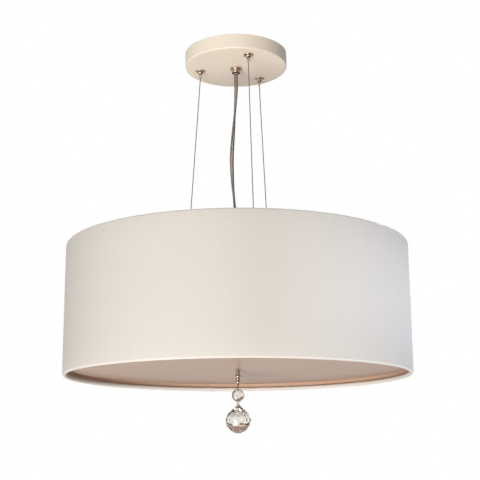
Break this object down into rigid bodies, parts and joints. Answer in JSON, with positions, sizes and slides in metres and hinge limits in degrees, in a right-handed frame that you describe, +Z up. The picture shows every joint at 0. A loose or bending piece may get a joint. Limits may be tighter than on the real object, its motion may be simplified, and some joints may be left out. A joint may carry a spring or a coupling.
{
  "type": "crystal pendant light",
  "caption": "Ceiling pendant: round canopy, thin steel suspension cables, slack clear cord, wide white fabric drum with a frosted diffuser, and a nickel finial with a hanging bead and faceted crystal ball.",
  "frame": {"origin": "on the ceiling, on the light's upright axis", "axes": "+Z up into the ceiling; the side seen in the picture faces -Y, with +X to the right"},
  "size_m": [0.4, 0.4, 0.4615],
  "materials": {
    "powder_coat": "cream white powder coat, satin",
    "zinc": "zinc plated",
    "nickel": "polished nickel",
    "green_steel": "green dyed steel",
    "cable_steel": "stranded steel",
    "spring_steel": "bright wire",
    "brass": "bright",
    "clear_cord": "clear jacket over silver strands",
    "white_plastic": "satin",
    "porcelain": "glazed",
    "fabric": "fine off-white weave",
    "lining": "matte white backing",
    "acrylic": "frosted above, semi-gloss below",
    "silicone": "translucent",
    "lamp_glass": "frosted inside",
    "crystal": "cut and polished"
  },
  "bodies": {
    "ceiling": {"mounting_plate": "zinc", "canopy_cover": "powder_coat", "canopy_screw_1": "powder_coat", "canopy_screw_2": "powder_coat", "earth_screw": "green_steel", "terminal_block": "white_plastic", "canopy_lead": "clear_cord", "cord_gland": "nickel", "cord_gland_nut": "nickel", "gripper_body_1": "nickel", "gripper_body_2": "nickel", "gripper_body_3": "nickel", "gripper_nut_1": "nickel", "gripper_nut_2": "nickel", "gripper_nut_3": "nickel", "gripper_spring_1": "spring_steel", "gripper_spring_2": "spring_steel", "gripper_spring_3": "spring_steel", "suspension_cable_1": "cable_steel", "suspension_cable_2": "cable_steel", "suspension_cable_3": "cable_steel", "power_cord": "clear_cord"},
    "plunger_1": {"gripper_plunger_1": "nickel"},
    "plunger_2": {"gripper_plunger_2": "nickel"},
    "plunger_3": {"gripper_plunger_3": "nickel"},
    "shade_frame": {"shade_cover": "fabric", "shade_lining": "lining", "spider_frame": "zinc", "bottom_ring": "zinc", "cable_stop_1": "nickel", "cable_stop_2": "nickel", "cable_stop_3": "nickel", "cord_bush": "white_plastic", "cord_tail": "clear_cord", "hub_pipe": "zinc", "hub_upper_nut": "zinc", "hub_lower_nut": "zinc", "cluster_nut": "zinc", "lid_nut": "zinc", "cluster_body": "powder_coat", "cluster_lid": "powder_coat", "lampholder_1": "porcelain", "lampholder_2": "porcelain", "lampholder_3": "porcelain", "rod_coupler": "zinc", "finial_rod": "zinc"},
    "lamp_base_1": {"lamp_cap_1": "brass"},
    "lamp_base_2": {"lamp_cap_2": "brass"},
    "lamp_base_3": {"lamp_cap_3": "brass"},
    "lamp_1": {"lamp_glass_1": "lamp_glass"},
    "lamp_2": {"lamp_glass_2": "lamp_glass"},
    "lamp_3": {"lamp_glass_3": "lamp_glass"},
    "diffuser_plate": {"diffuser": "acrylic", "diffuser_pad": "silicone", "finial_washer": "silicone"},
    "finial_knob": {"finial": "nickel"},
    "upper_link": {"finial_link": "nickel"},
    "bead": {"crystal_bead": "crystal"},
    "lower_link": {"ball_link": "nickel"},
    "ball": {"crystal_ball": "crystal"}
  },
  "joints": [
    {"name": "height_adjust", "type": "slide", "parent": "ceiling", "child": "shade_frame", "axis": [0, 0, 1], "range_m": [0, 0.12], "deforming": ["suspension_cable_1", "suspension_cable_2", "suspension_cable_3", "power_cord"]},
    {"name": "plunger_press_1", "type": "slide", "parent": "ceiling", "child": "plunger_1", "axis": [0, 0, 1], "range_m": [0, 0.0015], "stiffness_N_per_m": 150, "springref_m": -0.004, "deforming": ["gripper_spring_1"]},
    {"name": "plunger_press_2", "type": "slide", "parent": "ceiling", "child": "plunger_2", "axis": [0, 0, 1], "range_m": [0, 0.0015], "stiffness_N_per_m": 150, "springref_m": -0.004, "deforming": ["gripper_spring_2"]},
    {"name": "plunger_press_3", "type": "slide", "parent": "ceiling", "child": "plunger_3", "axis": [0, 0, 1], "range_m": [0, 0.0015], "stiffness_N_per_m": 150, "springref_m": -0.004, "deforming": ["gripper_spring_3"]},
    {"name": "lamp_travel_1", "type": "slide", "parent": "shade_frame", "child": "lamp_base_1", "axis": [0.9763, -0.2164, 0], "range_m": [0, 0.01814]},
    {"name": "lamp_turn_1", "type": "hinge", "parent": "lamp_base_1", "child": "lamp_1", "pos_m": [0.02958, -0.00656, -0.3155], "axis": [0.9763, -0.2164, 0], "range_deg": [0, 1800]},
    {"name": "lamp_travel_2", "type": "slide", "parent": "shade_frame", "child": "lamp_base_2", "axis": [-0.3007, 0.9537, 0], "range_m": [0, 0.01814]},
    {"name": "lamp_turn_2", "type": "hinge", "parent": "lamp_base_2", "child": "lamp_2", "pos_m": [-0.00911, 0.0289, -0.3155], "axis": [-0.3007, 0.9537, 0], "range_deg": [0, 1800]},
    {"name": "lamp_travel_3", "type": "slide", "parent": "shade_frame", "child": "lamp_base_3", "axis": [-0.6756, -0.7373, 0], "range_m": [0, 0.01814]},
    {"name": "lamp_turn_3", "type": "hinge", "parent": "lamp_base_3", "child": "lamp_3", "pos_m": [-0.02047, -0.02234, -0.3155], "axis": [-0.6756, -0.7373, 0], "range_deg": [0, 1800]},
    {"name": "diffuser_drop", "type": "slide", "parent": "shade_frame", "child": "diffuser_plate", "axis": [0, 0, -1], "range_m": [0, 0.00764]},
    {"name": "finial_turn", "type": "hinge", "parent": "diffuser_plate", "child": "finial_knob", "pos_m": [0, 0, -0.39], "axis": [0, 0, -1], "range_deg": [0, 6120]},
    {"name": "upper_link_swing", "type": "hinge", "parent": "finial_knob", "child": "upper_link", "pos_m": [0, 0, -0.4054], "axis": [-0.2079, 0.9781, 0], "range_deg": [-30, 30]},
    {"name": "bead_swing", "type": "hinge", "parent": "upper_link", "child": "bead", "pos_m": [0, 0, -0.4133], "axis": [-0.2079, 0.9781, 0], "range_deg": [-30, 30]},
    {"name": "lower_link_swing", "type": "hinge", "parent": "bead", "child": "lower_link", "pos_m": [0, 0, -0.4237], "axis": [-0.2079, 0.9781, 0], "range_deg": [-30, 30]},
    {"name": "ball_swing", "type": "hinge", "parent": "lower_link", "child": "ball", "pos_m": [0, 0, -0.4306], "axis": [-0.2079, 0.9781, 0], "range_deg": [-30, 30]}
  ],
  "couplings": [
    {"joint": "lamp_turn_1", "follows": "lamp_travel_1", "rad_per_m": 1731.4},
    {"joint": "lamp_turn_2", "follows": "lamp_travel_2", "rad_per_m": 1731.4},
    {"joint": "lamp_turn_3", "follows": "lamp_travel_3", "rad_per_m": 1731.4},
    {"joint": "finial_turn", "follows": "diffuser_drop", "rad_per_m": 13963}
  ]
}
